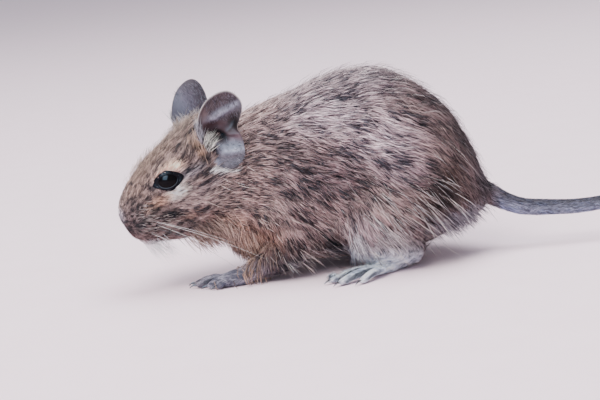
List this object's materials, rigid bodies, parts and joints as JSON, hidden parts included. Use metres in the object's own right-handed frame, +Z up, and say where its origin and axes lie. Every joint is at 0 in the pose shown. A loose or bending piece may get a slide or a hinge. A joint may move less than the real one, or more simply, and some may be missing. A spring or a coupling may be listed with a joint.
{
  "type": "degu model",
  "caption": "Life-size still model of a degu crouched on all four feet, head low and turned a little, long tufted tail held level behind it.",
  "frame": {"origin": "on the floor, under the middle of the whole body's box", "axes": "+X from the nose to the tail's tip, +Y to the animal's right, +Z up from the floor"},
  "size_m": [0.2522, 0.0764, 0.0729],
  "materials": {
    "coat": "soft agouti fur, brown-grey with dark tips and buff bands",
    "ear_skin": "thin bare purplish-grey skin with a slight sheen",
    "eye": "wet black gloss",
    "foot_skin": "pale grey skin under fine short hair",
    "claw": "dark satin horn",
    "whisker": "pale stiff hair",
    "tail_skin": "dark grey scaly skin under short hair",
    "tail_brush": "stiff black hair"
  },
  "bodies": {
    "root": {"head": "coat", "neck": "coat", "torso": "coat", "ear_left": "ear_skin", "ear_right": "ear_skin", "eye_left": "eye", "eye_right": "eye", "foreleg_left": "coat", "foreleg_right": "coat", "hindleg_left": "coat", "hindleg_right": "coat", "forefoot_left": "foot_skin", "forefoot_right": "foot_skin", "hindfoot_left": "foot_skin", "hindfoot_right": "foot_skin", "tail_base": "tail_skin", "tail_middle": "tail_skin", "tail_end": "tail_skin", "tail_brush": "tail_brush"}
  },
  "joints": []
}
